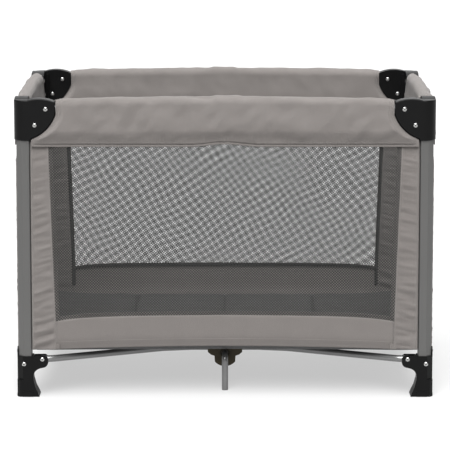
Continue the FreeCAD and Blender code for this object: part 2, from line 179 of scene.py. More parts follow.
# %% Moulded grain
def make_grain_group():
    """The spark-eroded texture of a moulding, with a few rubbed places."""
    tree, given, made = new_group("Moulded grain", {"Vector": None, "Scale": 900.0}, ["Height", "Rubbed"])
    for label, scale, detail in (("Height", 1.0, 2.0), ("Rubbed", 0.02, 4.0)):
        cloud = tree.nodes.new("ShaderNodeTexNoise")
        cloud.inputs["Detail"].default_value = detail
        tree.links.new(given["Vector"], cloud.inputs["Vector"])
        tree.links.new(calc(tree, "MULTIPLY", given["Scale"], scale), cloud.inputs["Scale"])
        tree.links.new(cloud.outputs["Fac"], made[label])
    return tree


grain_group = make_grain_group()
print("grain group has", len(grain_group.nodes), "nodes")


# %% The net's threads
def make_net_group():
    """A diamond net: threads along both diagonals and rounded holes between them."""
    tree, given, made = new_group(
        "Diamond net",
        {"Vector": None, "Across": 0.0068, "Up": 0.0070, "Hole": 0.335},
        ["Thread", "Height"],
    )
    spot = split(tree, given["Vector"])
    across = calc(tree, "DIVIDE", spot[0], given["Across"])
    up = calc(tree, "DIVIDE", spot[1], given["Up"])
    powers = []
    for way in ("ADD", "SUBTRACT"):
        cell = calc(tree, "FRACT", calc(tree, way, across, up))
        away = calc(tree, "ABSOLUTE", calc(tree, "SUBTRACT", cell, 0.5))
        powers.append(calc(tree, "POWER", away, 4.0))
    reach = calc(tree, "POWER", calc(tree, "ADD", *powers), 0.25)
    tree.links.new(calc(tree, "GREATER_THAN", reach, given["Hole"]), made["Thread"])
    tree.links.new(calc(tree, "SUBTRACT", 0.55, reach), made["Height"])
    return tree


net_group = make_net_group()
print("net group has", len(net_group.nodes), "nodes")


# %% [markdown]
# ## Finishes
# Each finish is a Principled shader. Colour comes from a base colour times the uneven tone, and
# the small relief comes from a Bump node. Values that don't change over the surface are set on
# the shader itself.

# %% A helper that starts a finish
class Finish:
    """A material in the making: its tree, its shader and the vector that its patterns follow."""

    def __init__(self, name, colour, roughness, follows="UV", **settings):
        self.material = bpy.data.materials.new(name)
        self.material.use_nodes = True
        self.tree = self.material.node_tree
        self.shader = self.tree.nodes["Principled BSDF"]
        self.colour = colour
        self.shader.inputs["Base Color"].default_value = (*colour, 1.0)
        self.shader.inputs["Roughness"].default_value = roughness
        for label, value in settings.items():
            self.shader.inputs[label.replace("_", " ")].default_value = value
        self.vector = self.tree.nodes.new("ShaderNodeTexCoord").outputs[follows]

    def group(self, group, **values):
        """Adds a shared group and gives its outputs."""
        node = self.tree.nodes.new("ShaderNodeGroup")
        node.node_tree = group
        self.tree.links.new(self.vector, node.inputs["Vector"])
        for label, value in values.items():
            node.inputs[label].default_value = value
        return node.outputs

    def tint(self, tone):
        """Base colour times a tone near 1."""
        node = self.tree.nodes.new("ShaderNodeVectorMath")
        node.operation = "SCALE"
        node.inputs[0].default_value = self.colour
        self.tree.links.new(tone, node.inputs["Scale"])
        self.tree.links.new(node.outputs[0], self.shader.inputs["Base Color"])

    def relief(self, height, distance, strength=1.0):
        """Small bumps in the surface."""
        node = self.tree.nodes.new("ShaderNodeBump")
        node.inputs["Distance"].default_value = distance
        node.inputs["Strength"].default_value = strength
        self.tree.links.new(height, node.inputs["Height"])
        self.tree.links.new(node.outputs[0], self.shader.inputs["Normal"])

    def roughness(self, value, swing, mask):
        """Roughness from value - swing to value + swing, as mask goes from 0 to 1."""
        tree = self.tree
        around = calc(tree, "MULTIPLY", calc(tree, "SUBTRACT", mask, 0.5), 2.0 * swing)
        tree.links.new(calc(tree, "ADD", around, value), self.shader.inputs["Roughness"])


# %% Cloth finishes
GAP_SHADE = 0.22                                # painted shade in the gaps of a weave: how much darker they are


def cloth_finish(name, colour, threads, roughness=0.78, amount=0.07, relief=0.00022, sheen=0.12):
    """A woven cloth; threads is their number in a metre and amount how uneven the tone is."""
    shine = 0.1 + 2.0 * sheen
    finish = Finish(
        name, colour, roughness, Sheen_Weight=sheen, Sheen_Roughness=0.5, Specular_IOR_Level=shine
    )
    weave = finish.group(weave_group, Threads=threads)
    tone = finish.group(tone_group, Scale=16.0, Amount=amount)["Tone"]
    # painted shade: the colour darkens in the gaps between the threads
    shade = calc(finish.tree, "MULTIPLY", weave["Gap"], GAP_SHADE)
    finish.tint(calc(finish.tree, "SUBTRACT", tone, shade))
    finish.relief(weave["Height"], relief)
    finish.roughness(roughness, 0.05, weave["Gap"])
    return finish.material


TAUPE = (0.158, 0.144, 0.136)
taupe_cloth = cloth_finish("taupe_oxford_cloth", TAUPE, 1400.0)
floor_cloth = cloth_finish("black_base_cloth", (0.018, 0.018, 0.019), 900.0)
mattress_cloth = cloth_finish(
    "charcoal_mattress_cloth", (0.058, 0.057, 0.056), 1100.0, amount=0.22, sheen=0.01
)
binding_tape = cloth_finish("black_binding_tape", (0.006, 0.006, 0.006), 700.0, 0.85, sheen=0.01)
webbing = cloth_finish("black_webbing", (0.014, 0.014, 0.015), 420.0, 0.7, 0.05, 0.0006)
thread_finish = cloth_finish("taupe_thread", (0.30, 0.278, 0.262), 2500.0, 0.6)
print("cloth finishes made, the first one is", taupe_cloth.name)


# %% The net's finish
def net_finish():
    """The holes of the net are cut out by its alpha."""
    finish = Finish("black_diamond_net", (0.030, 0.030, 0.029), 0.7, Specular_IOR_Level=0.2)
    net = finish.group(net_group)
    tone = finish.group(tone_group, Scale=220.0, Amount=0.25)["Tone"]
    finish.tint(tone)
    finish.relief(net["Height"], 0.0012, 0.7)
    finish.tree.links.new(net["Thread"], finish.shader.inputs["Alpha"])
    return finish.material


net_cloth = net_finish()
print("net finish:", net_cloth.name)


# %% Hard finishes
def plastic_finish(name, colour, roughness):
    """A grained moulding with a few rubbed places."""
    finish = Finish(name, colour, roughness, "Object", Specular_IOR_Level=0.13)
    grain = finish.group(grain_group)
    finish.relief(grain["Height"], 0.00012, 0.8)
    finish.tint(finish.group(tone_group, Scale=30.0, Amount=0.12)["Tone"])
    finish.roughness(roughness, 0.12, grain["Rubbed"])
    return finish.material


def paint_finish(name, colour, roughness, metallic):
    """Smooth paint or bare metal."""
    finish = Finish(name, colour, roughness, "Object", Metallic=metallic, Coat_Weight=0.15)
    grain = finish.group(grain_group, Scale=1500.0)
    finish.relief(grain["Height"], 0.00004)
    finish.tint(finish.group(tone_group, Scale=9.0, Amount=0.05)["Tone"])
    finish.roughness(roughness, 0.06, grain["Rubbed"])
    return finish.material


FINISHES = {
    "post_metal": paint_finish("grey_post_paint", (0.088, 0.087, 0.085), 0.40, 0.35),
    "rail_metal": paint_finish("grey_rail_paint", (0.160, 0.160, 0.160), 0.32, 0.55),
    "black_plastic": plastic_finish("black_moulding", (0.0030, 0.0030, 0.0031), 0.42),
    "lock_plastic": plastic_finish("dark_grey_moulding", (0.035, 0.035, 0.036), 0.45),
    "hub_plastic": plastic_finish("olive_brown_moulding", (0.040, 0.033, 0.020), 0.40),
    "rivet_steel": paint_finish("bright_rivet_steel", (0.52, 0.52, 0.51), 0.30, 1.0),
    "wall_fabric": taupe_cloth,
    "mesh": net_cloth,
    "floor_fabric": floor_cloth,
    "mattress_fabric": mattress_cloth,
    "webbing": webbing,
}
for subpart in frame["record"]["subparts"]:
    node = frame["nodes"][subpart["node"]]
    node.data.materials.clear()
    node.data.materials.append(FINISHES[subpart["material_slot"]])
print("finishes put on", len(frame["nodes"]), "frame parts")


# %% [markdown]
# ## Cloth from a grid
# Every cloth here is a grid of points with a UV map in metres, so its weave keeps one scale. The
# grid's first direction runs along the wall and the second one up it, which makes the faces
# point outwards. A Solidify modifier gives it a thickness towards the inside.

# %% Grid cloth
def place(name, data):
    """Puts a mesh, a light or a camera in the scene."""
    thing = bpy.data.objects.new(name, data)
    bpy.context.scene.collection.objects.link(thing)
    return thing


def smooth_piece(name, points, lays, faces, finish):
    """A piece through points; lays gives each point's place on the flat cloth, in metres."""
    mesh = bpy.data.meshes.new(name)
    mesh.from_pydata(points, [], faces)
    layer = mesh.uv_layers.new(name="UVMap")
    for loop in mesh.loops:
        layer.data[loop.index].uv = lays[loop.vertex_index]
    mesh.materials.append(finish)
    mesh.polygons.foreach_set("use_smooth", [True] * len(mesh.polygons))
    return place(name, mesh)


def settle(piece):
    """Turns what the modifiers make into the piece's own mesh."""
    graph = bpy.context.evaluated_depsgraph_get()
    graph.update()
    made = bpy.data.meshes.new_from_object(
        piece.evaluated_get(graph), preserve_all_data_layers=True, depsgraph=graph
    )
    piece.modifiers.clear()
    piece.data = made


def grid_cloth(name, rows, finish, thickness, skip=lambda i, j: False):
    """A cloth through rows of points, each point a (place, (u, v)) pair."""
    across = len(rows[0])
    points = [point for row in rows for point, lay in row]
    lays = [lay for row in rows for point, lay in row]
    faces = []
    for j in range(len(rows) - 1):
        for i in range(across - 1):
            if not skip(i, j):
                a = j * across + i
                faces.append((a, a + 1, a + across + 1, a + across))
    piece = smooth_piece(name, points, lays, faces, finish)
    if thickness:
        solid = piece.modifiers.new("Thickness", "SOLIDIFY")
        solid.thickness = thickness
        solid.offset = -1.0
        solid.use_even_offset = True
        settle(piece)
    return piece


# %% Soft changes
def smooth(value, start, end):
    """0 at start and 1 at end, with a soft change between."""
    t = min(max((value - start) / (end - start), 0.0), 1.0)
    return t * t * (3 - 2 * t)


def bell(distance, width):
    """1 at no distance, fading to nothing at about twice the width."""
    return math.exp(-((distance / width) ** 2))


def ripple(x, y, z):
    """A soft random value between about -1 and 1 that is the same on every run."""
    return noise.noise(Vector((x, y, z)))


def spread(start, end, count):
    """Even steps from start to end, both included."""
    return [start + (end - start) * k / count for k in range(count + 1)]


# %% [markdown]
# ## How a wall hangs
# A net wall is held by its top and its corners, so it draws inwards halfway along, and its lower
# edge lifts a little there. All the pieces of a wall share one surface, so that they stay sewn
# together.

# %% The surface of a wall
SKIN = 0.0012                                   # the cloth's face behind the bracket's face
PULL = by_side(0.012, 0.008)                    # how far a wall draws in halfway along
PULL_TOP, PULL_FULL = 0.66, 0.40                # it starts at one height and is full at the other
LIFT = by_side(0.0065, 0.004)                   # how far its lower edge lifts halfway along
LIFT_END = 0.45                                 # nothing lifts above this height
TUCK = 0.0042                                   # how far the top tucks in under the cover
TUCK_LOW, TUCK_HIGH = 0.590, 0.632
SEAM_DIP, DIP_ALONG, DIP_UP = 0.0095, 0.045, 0.04   # the net's lower seam drops at its ends
ALLOWANCE = 0.0102                              # cloth behind the net along a seam
BORDER, BORDER_FLARE = 0.0862, 0.0145           # the border's width at the top, and what it gains
FLARE_TOP, FLARE_RUN = 0.63, 0.43
CLOTH_THICKNESS = 0.0011


def border_edge(z):
    """How far the border reaches from the outer face; it widens towards the floor."""
    return BORDER + BORDER_FLARE * min(max((FLARE_TOP - z) / FLARE_RUN, 0.0), 1.0)


def slack(side, along):
    """1 halfway along a wall and 0 at its borders."""
    reach = HALF[side] - 0.09
    return max(1.0 - (along / reach) ** 2, 0.0)


def wall_point(side, along, z, behind=0.0):
    """A point of the wall's surface, or a little behind it."""
    free = slack(side, along)
    inwards = SKIN + PULL[side] * free * smooth(z, PULL_TOP, PULL_FULL)
    inwards += TUCK * smooth(z, TUCK_LOW, TUCK_HIGH)
    lift = LIFT[side] * free * (1.0 - smooth(z, CLOTH_LOW, LIFT_END))
    from_border = HALF[side] - border_edge(z) - abs(along)
    if from_border > -0.0005:
        dip = math.exp(-max(from_border, 0.0) / DIP_ALONG)
        lift -= SEAM_DIP * dip * bell(z - BAND_TOP, DIP_UP)
    return wall_spot(side, along, inwards + behind, z + lift)


# %% [markdown]
# ## Riding on the frame
# When the frame folds, the corners come together and the cloth between them crumples. Here
# each cloth only rides on the corner of the frame that it is fastened to.

# %% How cloth rides on the frame
COVER_GAP = 0.0012                              # between a cover and its bracket


def follow(piece, side, body):
    """The piece rides on a corner and gets a mesh of its own."""
    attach(piece, body)
    if side in LONG_SIDES:
        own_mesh(piece)
    else:
        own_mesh(piece)


def follow_post(piece, side, body):
    """The piece rides on the corner of a post."""
    follow(piece, side, body)


def follow_bracket(piece, side, body):
    """For the covers, which lie between the tips of two brackets."""
    follow(piece, side, body)


# %% [markdown]
# ## The net
# The net is one sheet per wall. Its threads are cut out by the material, because tens of
# thousands of knots as mesh would be too heavy. It lies over the edges of the cloth round it.

# %% Net walls
NET_LAP = 0.0085                                # how far the net reaches down over the band
NET_TURN = {"front": 0.0, "rear": 0.275, "left": -0.04, "right": 0.235}     # radians
NET_RIPPLE = 0.0007
NET_DRIFT = 0.0024                              # how far its lattice wanders
NET_SEED = 7
noise.seed_set(NET_SEED)                        # the lattices drift the same way on every run


def net_wall(side):
    """Each net is cut askew and pulled unevenly, so its lattice turns and drifts a little."""
    rows = []
    phase = 1.7 * SIDES.index(side)
    turn = NET_TURN[side]
    for up in spread(0.0, 1.0, 44):
        row = []
        z = BAND_TOP - NET_LAP + (NET_TOP - BAND_TOP + NET_LAP) * up
        end = HALF[side] - border_edge(z)
        for t in spread(-1.0, 1.0, 72):
            along = end * t
            behind = NET_RIPPLE * ripple(along * 9, z * 7, 3.0)
            drift = noise.noise_vector(Vector((along * 9, z * 9, 10.0 + phase))) * NET_DRIFT
            lay = (
                along * math.cos(turn) - z * math.sin(turn) + drift.x,
                along * math.sin(turn) + z * math.cos(turn) + drift.y,
            )
            row.append((wall_point(side, along, z, behind), lay))
        rows.append(row)
    return grid_cloth(side + "_net", rows, net_cloth, 0.0)


nets = {side: net_wall(side) for side in SIDES}
print("net walls:", [len(net.data.polygons) for net in nets.values()])

# %% [markdown]
# ## The solid bands
# A band of cloth closes each wall beside the mattress. Its lower edge is turned under and
# stitched, and its upper edge passes behind the net.

# %% Lower bands
HEM_LINE = 0.020                                # the hem's stitches above the lower edge
BAND_LAP = 0.0015
SEAM_LAYER = 0.0014                             # how far a seam's edge lies behind the net


def band(side):
    """The lower edge turns under, a groove marks the hem and the top passes behind the net."""
    top = BAND_TOP + BAND_LAP
    levels = spread(CLOTH_LOW, CLOTH_LOW + 0.019, 6)
    levels += spread(CLOTH_LOW + 0.021, top - ALLOWANCE - 0.001, 9)
    levels += spread(top - ALLOWANCE + 0.0005, top, 3)
    rows = []
    for z in levels:
        row = []
        under = 0.0045 * (1.0 - smooth(z, CLOTH_LOW, CLOTH_LOW + 0.024))
        groove = 0.0007 * bell(z - CLOTH_LOW - HEM_LINE, 0.0016)
        tucked = SEAM_LAYER if z > top - ALLOWANCE else 0.0
        for t in spread(-1.0, 1.0, 110):
            along = (HALF[side] - border_edge(z) - 0.0002) * t
            waves = 0.0009 * ripple(along * 22, z * 10, 8.0)
            behind = under + groove + tucked + waves * (1.0 - abs(t) ** 6)
            row.append((wall_point(side, along, z, behind), (along, z)))
        rows.append(row)
    return grid_cloth(side + "_band_cloth", rows, taupe_cloth, CLOTH_THICKNESS)


bands = {side: band(side) for side in SIDES}
print("bands:", [len(piece.data.polygons) for piece in bands.values()])

# %% [markdown]
# ## The corner cloths
# A strip of cloth joins each wall to its post and turns in round the post. It pulls tight across
# the post, which leaves fine level wrinkles. Each corner takes two strips, one for each wall.

# %% Corner strips
STRIP_POST = LEG_FACE + 0.0012                  # the strip's face beside the post
STRIP_TURN = 0.005                              # the radius of its turn round the post


def strip_path(edge):
    """The strip's section as (in from the outer face, behind) points, from its seam to its end."""
    path = [(u, SEAM_LAYER) for u in (edge + ALLOWANCE, edge + ALLOWANCE / 2, edge + 0.0006)]
    path += [(edge - 0.0006, 0.0)]
    path += [(u, 0.0) for u in spread(edge - 0.004, STRIP_POST + 0.006, 9)]
    for angle in (30, 60, 90):
        a = math.radians(angle)
        path.append((STRIP_POST + STRIP_TURN * (1 - math.sin(a)), STRIP_TURN * (1 - math.cos(a))))
    return path + [(STRIP_POST, 0.018), (STRIP_POST, LEG_FACE - 0.001)]


def wrinkles(u, z, end):
    """Nearly level creases, deepest near the floor."""
    slant = (z - 0.25 * u) * 68
    crease = ripple(u * 12, slant, 5.0 + end)
    crease += 0.5 * ripple(u * 26, slant * 2.3, 9.0 + end)
    return crease * (1.0 - 0.45 * smooth(z, CLOTH_LOW, 0.40))


def strip_name(side, end):
    """The corner that a wall's left or right end belongs to, as (front or rear, left or right)."""
    spot = wall_spot(side, end * HALF[side], 0.0, 0.0)
    return ("front" if spot.y < 0 else "rear", "left" if spot.x < 0 else "right")


def corner_strip(side, end):
    """End is -1 for the strip at the wall's left end and 1 for its right end."""
    rows = []
    for z in spread(CLOTH_LOW, NET_TOP - 0.0002, 150):
        edge = border_edge(z)
        path = strip_path(edge)
        row = []
        run = 0.0
        for k, (u, behind) in enumerate(path):
            if k:
                run += math.dist(path[k - 1], path[k])
            tight = smooth(u, STRIP_POST, STRIP_POST + 0.012) * (1.0 - smooth(u, edge - 0.010, edge - 0.001))
            crease = (0.0016 - 0.0050 * wrinkles(u, z, end)) * tight
            spot = wall_point(side, end * (HALF[side] - u), z, behind + crease)
            row.append((spot, (-end * run, z)))
        rows.append(row if end > 0 else row[::-1])
    name = f"{side}_border_{'_'.join(strip_name(side, end))}"
    return grid_cloth(name, rows, taupe_cloth, CLOTH_THICKNESS)


strips = {(side, end): corner_strip(side, end) for side in SIDES for end in (-1, 1)}
print("corner strips:", len(strips))

# %% [markdown]
# ## Binding tape
# Inside, a black tape covers each seam between cloth and net. It is a narrow ribbon that follows
# the same wall surface, a little further in.

# %% Tapes inside the walls
TAPE_WIDTH = 0.0095
TAPE_THICKNESS = 0.0007


def join(pieces):
    """Makes one piece of several; the first one gives the name."""
    bpy.ops.object.select_all(action="DESELECT")
    for piece in pieces:
        piece.select_set(True)
    bpy.context.view_layer.objects.active = pieces[0]
    bpy.ops.object.join()
    return pieces[0]


def ribbon(side, spots, width_way):
    """Rows for a ribbon through spots (along, z), widened by width_way (along, up)."""
    rows = []
    for share in (0.0, 0.5, 1.0):
        row = []
        for run, (along, z) in enumerate(spots):
            a = along + width_way[0] * share
            b = z + width_way[1] * share
            behind = 0.0032 - 0.0004 * math.sin(math.pi * share)
            row.append((wall_point(side, a, b, behind), (run * 0.01, share * TAPE_WIDTH)))
        rows.append(row)
    return rows


def binding(side):
    """A tape up each end of the net and one along its lower seam, as one piece."""
    low = BAND_TOP - ALLOWANCE + 0.002
    levels = spread(CLOTH_LOW + 0.030, NET_TOP - 0.003, 46)
    pieces = []
    for end in (-1, 1):
        spots = [(end * (HALF[side] - border_edge(z)), z) for z in levels]
        rows = ribbon(side, spots, (-end * TAPE_WIDTH, 0.0))
        rows = rows if end > 0 else rows[::-1]
        pieces.append(grid_cloth(f"{side}_tape_{end}", rows, binding_tape, TAPE_THICKNESS))
    end = HALF[side] - border_edge(low)
    rows = ribbon(side, [(along, low) for along in spread(-end, end, 80)], (0.0, TAPE_WIDTH))
    pieces.append(grid_cloth(side + "_binding_tape", rows, binding_tape, TAPE_THICKNESS))
    return join(pieces[::-1])


bindings = {side: binding(side) for side in SIDES}
print("binding tapes:", len(bindings))

# %% [markdown]
# ## Padded rail covers
# A cover hangs over the two half rails of a side like a saddle, with thin foam inside. Its ends
# follow the round lower edge of the brackets. Its lower seam pulls the cloth into small puckers.
# It is shaped by a formula: a section that bulges between its seams, plus soft uneven folds.

# %% The bracket's lower edge
def circle_through(a, b, c):
    """Centre and radius of the circle through three points."""
    ax, ay = a
    bx, by = b
    cx, cy = c
    d = 2 * (ax * (by - cy) + bx * (cy - ay) + cx * (ay - by))
    x = ((ax**2 + ay**2) * (by - cy) + (bx**2 + by**2) * (cy - ay) + (cx**2 + cy**2) * (ay - by)) / d
    y = ((ax**2 + ay**2) * (cx - bx) + (bx**2 + by**2) * (ax - cx) + (cx**2 + cy**2) * (bx - ax)) / d
    return (x, y), math.dist((x, y), a)


WING_TOP, WING_LOW = 0.714, 0.6515              # the heights between which the edge curves
centre, radius = circle_through((WING_END, 0.716), (0.084, 0.682), (0.042, 0.655))
print("bracket edge: centre", centre, "radius", round(radius, 4))


def cover_end(z):
    """How far in from the outer face the cover ends, at height z."""
    beside_post = LEG_FACE + 0.0042
    if z > WING_TOP:
        return WING_END + COVER_GAP
    if z <= WING_LOW:
        return beside_post
    arc = centre[0] + math.sqrt(max((radius + 0.0018) ** 2 - (z - centre[1]) ** 2, 0.0))
    return max(arc, beside_post)


# %% Cover shape
COVER_DEPTH = 0.0332
COVER_FACE = 0.0004                             # its outer face behind the bracket's face
COVER_THICKNESS = 0.0022
HEM = 0.0058
PUFF = by_side(0.0098, 0.0045)
RAIL_ROOM = 0.0021                              # how far the cover may draw in towards its rail
CROWN = 0.0056                                  # how much higher the cover is halfway along
END_STEPS = [1.0 - k * 0.0022 for k in range(15)]
COVER_STEPS = [-t for t in END_STEPS] + spread(-0.965, 0.965, 190) + END_STEPS[::-1]


def cover_section():
    """Points (behind, z, outwards) from the inner lower edge over the top to the outer one."""
    r = COVER_DEPTH / 2
    middle = COVER_TOP - r
    legs = spread(COVER_LOW - HEM, COVER_LOW - 0.0012, 3) + [COVER_LOW, COVER_LOW + 0.0010]
    legs += [COVER_LOW + 0.0022] + spread(COVER_LOW + 0.0045, middle, 25)
    inner = [(COVER_DEPTH + COVER_FACE, z, (1.0, 0.0)) for z in legs]
    arch = []
    for angle in spread(0.0, math.pi, 18)[1:-1]:
        way = (math.cos(angle), math.sin(angle))
        arch.append((r + COVER_FACE + r * way[0], middle + r * way[1], way))
    outer = [(COVER_FACE, z, (-1.0, 0.0)) for z in legs[::-1]]
    return inner + arch + outer


def cover_puff(side, z):
    """How far the foam stands out, with a groove at the lower seam."""
    crown = 1.0 - 0.9 * smooth(z, COVER_TOP - 0.080, COVER_TOP - 0.004)
    puff = PUFF[side] * smooth(z, COVER_LOW, COVER_LOW + 0.036) * crown
    puff += 0.0016 * smooth(z, COVER_LOW, COVER_LOW + 0.0022) - 0.0004
    return puff - 0.0030 * bell(z - COVER_LOW, 0.0011)


def cover_out(along, z, puff, low, from_end, way_x):
    """How far a point stands out: foam, puckers at the seam, folds and the end's seams."""
    inside = way_x > 0
    rim = smooth(from_end, 0.0, 0.022)
    pucker = ripple(along * 70, z * 14, 2.0 + way_x)
    folds = ripple(along * 13 + z * 9, z * 12 - along * 5, 4.0 + way_x)
    folds += 0.6 * ripple(along * 31 - z * 22, z * 26 + along * 9, 6.0 + way_x)
    out = puff * rim + 0.0026 * pucker * low * (0.35 + bell(along, 0.12)) * rim
    out += (0.0022 if inside else 0.0042) * folds * rim * smooth(z, COVER_LOW, COVER_LOW + 0.02)
    for seam in (0.0055, 0.0105):
        out -= 0.0009 * bell(from_end - seam, 0.0014)
    if inside:
        out -= 0.0018 * (1.0 - smooth(from_end, 0.003, 0.009))
    return max(out, -RAIL_ROOM)


def cover_rise(side, along, t, z, low):
    """The cover is higher halfway along; on a long side the lock shows below and on top."""
    rise = CROWN * (1.0 - t * t) * smooth(z, COVER_TOP - 0.05, COVER_TOP - 0.004)
    if side in LONG_SIDES:
        if abs(along) < 0.088:
            rise += 0.0065 * math.cos(math.pi * along / 0.176) ** 2 * low
        lock = 1.0 - smooth(abs(along - 0.004), 0.026, 0.040)
        rise += 0.0026 * lock * smooth(z, COVER_TOP - 0.03, COVER_TOP - 0.006)
    return rise


def cover(side):
    """Sections along the rail; each row of the grid runs the length of the cover."""
    section = cover_section()
    rows = []
    run = 0.0
    for k, (behind, z, way) in enumerate(section):
        if k:
            run += math.dist((behind, z), section[k - 1][:2])
        end = HALF[side] - cover_end(z) + (0.0035 if way[0] > 0 else 0.0)
        puff = cover_puff(side, z)
        low = 1.0 - smooth(z, COVER_LOW, COVER_LOW + 0.045)
        row = []
        for t in COVER_STEPS:
            along = end * t
            out = cover_out(along, z, puff, low, end - abs(along), way[0])
            height = z + out * way[1] + cover_rise(side, along, t, z, low)
            row.append((wall_spot(side, along, behind + out * way[0], height), (along, run)))
        rows.append(row[::-1])
    return grid_cloth(side + "_padded_cover", rows, taupe_cloth, COVER_THICKNESS)


covers = {side: cover(side) for side in SIDES}
print("covers:", [len(piece.data.polygons) for piece in covers.values()])

# %% [markdown]
# ## Mattress and floor
# The mattress is four padded boards in one cover, sewn between the boards so that it folds up.
# Each board is a closed form that swells in the middle and draws in at its seams.

# %% Mattress boards
mat_low, mat_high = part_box("mattress")
BOARDS = 4
PAD_X, PAD_Y = 30, 72                           # faces across and along a board
PAD_SEAM, PAD_SWELL = 0.0030, 0.0090            # half the seam's thickness, and what the foam adds
PAD_TUFT = 0.0030
PAD_CURL, CURL_REACH = 0.016, 0.045             # the mattress's two ends curl up


def pad(name, x0, x1):
    """A soft board: a rounded box whose faces swell and whose edges are sewn flat."""
    y0, y1 = mat_low[1], mat_high[1]
    middle = (mat_low[2] + mat_high[2]) / 2
    points, faces, lays = [], [], []
    for up in (-1, 1):
        for j in range(PAD_Y + 1):
            for i in range(PAD_X + 1):
                a, b = 2 * i / PAD_X - 1, 2 * j / PAD_Y - 1
                square = (1 - abs(a) ** 10) * (1 - abs(b) ** 16)
                swell = max(square, 0.0) ** 0.5
                x = x0 + (x1 - x0) * (a + 1) / 2
                y = y0 + (y1 - y0) * (b + 1) / 2
                tuft = PAD_TUFT * ripple(x * 26, y * 26, up * 3.0)
                curl = PAD_CURL * math.exp(-(mat_high[0] - abs(x)) / CURL_REACH)
                foam = PAD_SEAM + (PAD_SWELL + tuft * (up > 0)) * swell
                points.append((x, y, max(middle + up * foam, mat_low[2]) + curl))
                lays.append((x, y))
    layer = (PAD_X + 1) * (PAD_Y + 1)
    for j in range(PAD_Y):
        for i in range(PAD_X):
            k = j * (PAD_X + 1) + i
            faces.append((k, k + PAD_X + 1, k + PAD_X + 2, k + 1))
            faces.append(tuple(layer + n for n in (k, k + 1, k + PAD_X + 2, k + PAD_X + 1)))
    rim = list(range(PAD_X + 1))
    rim += [j * (PAD_X + 1) + PAD_X for j in range(1, PAD_Y + 1)]
    rim += [PAD_Y * (PAD_X + 1) + i for i in range(PAD_X - 1, -1, -1)]
    rim += [j * (PAD_X + 1) for j in range(PAD_Y - 1, 0, -1)]
    for k, here in enumerate(rim):
        after = rim[(k + 1) % len(rim)]
        faces.append((here, after, layer + after, layer + here))
    return smooth_piece(name, points, lays, faces, mattress_cloth)


board_width = (mat_high[0] - mat_low[0]) / BOARDS
boards = []
for n in range(BOARDS):
    start = mat_low[0] + n * board_width
    boards.append(pad(f"mattress_board_{n + 1}", start, start + board_width))
mattress = join(boards)
mattress.name = "padded_mattress"
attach(mattress, "mattress")
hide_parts("mattress")
print("mattress faces:", len(mattress.data.polygons))


# %% Floor cloth
FLOOR_SEAM = 0.0068                             # its edge behind the bracket's face
FLOOR_X, FLOOR_Y = HALF_X - 0.006, HALF_Y - 0.006   # the half size of the flat floor
NOTCH = 0.044                                   # cut away at the posts
FLOOR_TURN = 0.015                              # how far its margin turns up


def floor_cloth_half(name):
    """Its margin turns up behind the band, where it is sewn."""
    low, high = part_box(name)
    xs = spread(low[0], high[0], 24)
    ys = spread(low[1], high[1], 60)

    def skip(i, j):
        x, y = (xs[i] + xs[i + 1]) / 2, (ys[j] + ys[j + 1]) / 2
        corner = abs(x) > FLOOR_X - NOTCH and abs(y) > FLOOR_Y - NOTCH
        slit = abs(x) < 0.018 and abs(y) < 0.012
        return corner or slit

    rows = []
    for y in ys:
        row = []
        for x in xs:
            reach_x = HALF_X - FLOOR_SEAM - PULL["left"] * slack("left", y)
            reach_y = HALF_Y - FLOOR_SEAM - PULL["front"] * slack("front", x)
            turn = smooth(abs(y), 0.328, high[1]) + smooth(abs(x), 0.482, FLOOR_X)
            z = high[2] - 0.0009 + 0.0008 * ripple(x * 8, y * 8, 1.0)
            z += FLOOR_TURN * min(turn, 1.0)
            row.append((Vector((x * reach_x / FLOOR_X, y * reach_y / high[1], z)), (x, y)))
        rows.append(row)
    return grid_cloth(name + "_cloth", rows, floor_cloth, 0.0010, skip)


for side in ("left", "right"):
    piece = floor_cloth_half("floor_" + side)
    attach(piece, "front_lower_rail_" + side)
    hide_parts("floor_" + side)
    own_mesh(piece)
print("floor cloth is two halves")

# %% Pull strap
strap_low, strap_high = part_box("pull_strap")
strap_path = [(strap_low[1] + 0.0009, z) for z in spread(strap_low[2], strap_high[2] - 0.0012, 3)]
strap_path += [(y, strap_high[2] - 0.0006) for y in spread(strap_low[1] + 0.002, strap_high[1], 30)]
rows = []
for x in (strap_low[0], (strap_low[0] + strap_high[0]) / 2, strap_high[0]):
    row = []
    for k, (y, z) in enumerate(strap_path):
        row.append((Vector((x, y, z)), (k * 0.006, x)))
    rows.append(row)
strap = grid_cloth("webbing_pull_strap", rows[::-1], webbing, 0.0008)
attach(strap, "central_hub")
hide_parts("pull_strap")
print("pull strap:", len(strap.data.polygons), "faces")

# %% [markdown]
# ## Stitches
# Stitches repeat, so Geometry Nodes lay them: a line is cut into equal steps, and a short thread
# stands on each step, turned along the line and a little uneven.

